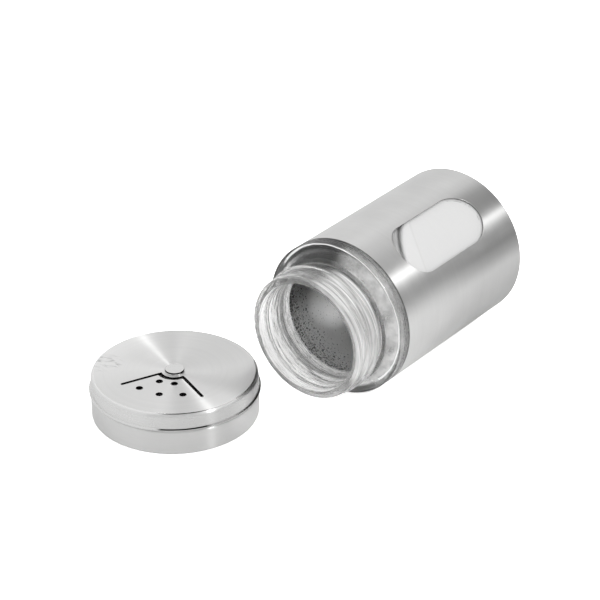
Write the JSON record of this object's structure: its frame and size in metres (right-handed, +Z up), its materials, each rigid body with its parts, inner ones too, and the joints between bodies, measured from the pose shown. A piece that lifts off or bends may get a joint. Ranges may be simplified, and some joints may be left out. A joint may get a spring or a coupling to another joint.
{
  "type": "spice shaker",
  "caption": "Glass spice jar in a windowed steel sleeve, lying on its side, with its steel screw cap off; the cap's dial turns on a rivet over shaker holes.",
  "frame": {"origin": "on the ground, at the middle of the box round the lying jar and the cap beside it", "axes": "+Y along the lying jar from its mouth to its base, +Z up, +X to the side away from the cap"},
  "size_m": [0.1026, 0.1636, 0.062],
  "materials": {
    "clear_glass": "clear soda-lime glass, fire-polished",
    "sleeve_steel": "fine brushing round the sleeve",
    "base_steel": "circular brushing",
    "pad_foam": "closed-cell foam",
    "shell_steel": "fine brushing round the band",
    "ring_plastic": "natural polypropylene",
    "seal_rubber": "white silicone",
    "dial_steel": "circular brushing on the top and round the skirt",
    "rivet_steel": "polished",
    "spring_steel": "dark spring steel"
  },
  "bodies": {
    "jar": {"glass_jar": "clear_glass", "steel_sleeve": "sleeve_steel", "base_plate": "base_steel", "base_pad": "pad_foam"},
    "cap": {"cap_shell": "shell_steel", "thread_ring": "ring_plastic", "seal_ring": "seal_rubber", "pivot_rivet": "rivet_steel", "spring_washer": "spring_steel", "tail_washer": "spring_steel"},
    "dial": {"shaker_dial": "dial_steel"}
  },
  "joints": [
    {"name": "cap_lift", "type": "slide", "parent": "jar", "child": "cap", "axis": [0, 0, 1], "range_m": [0, 0.12]},
    {"name": "dial_turn", "type": "hinge", "parent": "cap", "child": "dial", "pos_m": [-0.01869, -0.04924, 0.0167], "axis": [0, 0, 1], "continuous": true}
  ]
}
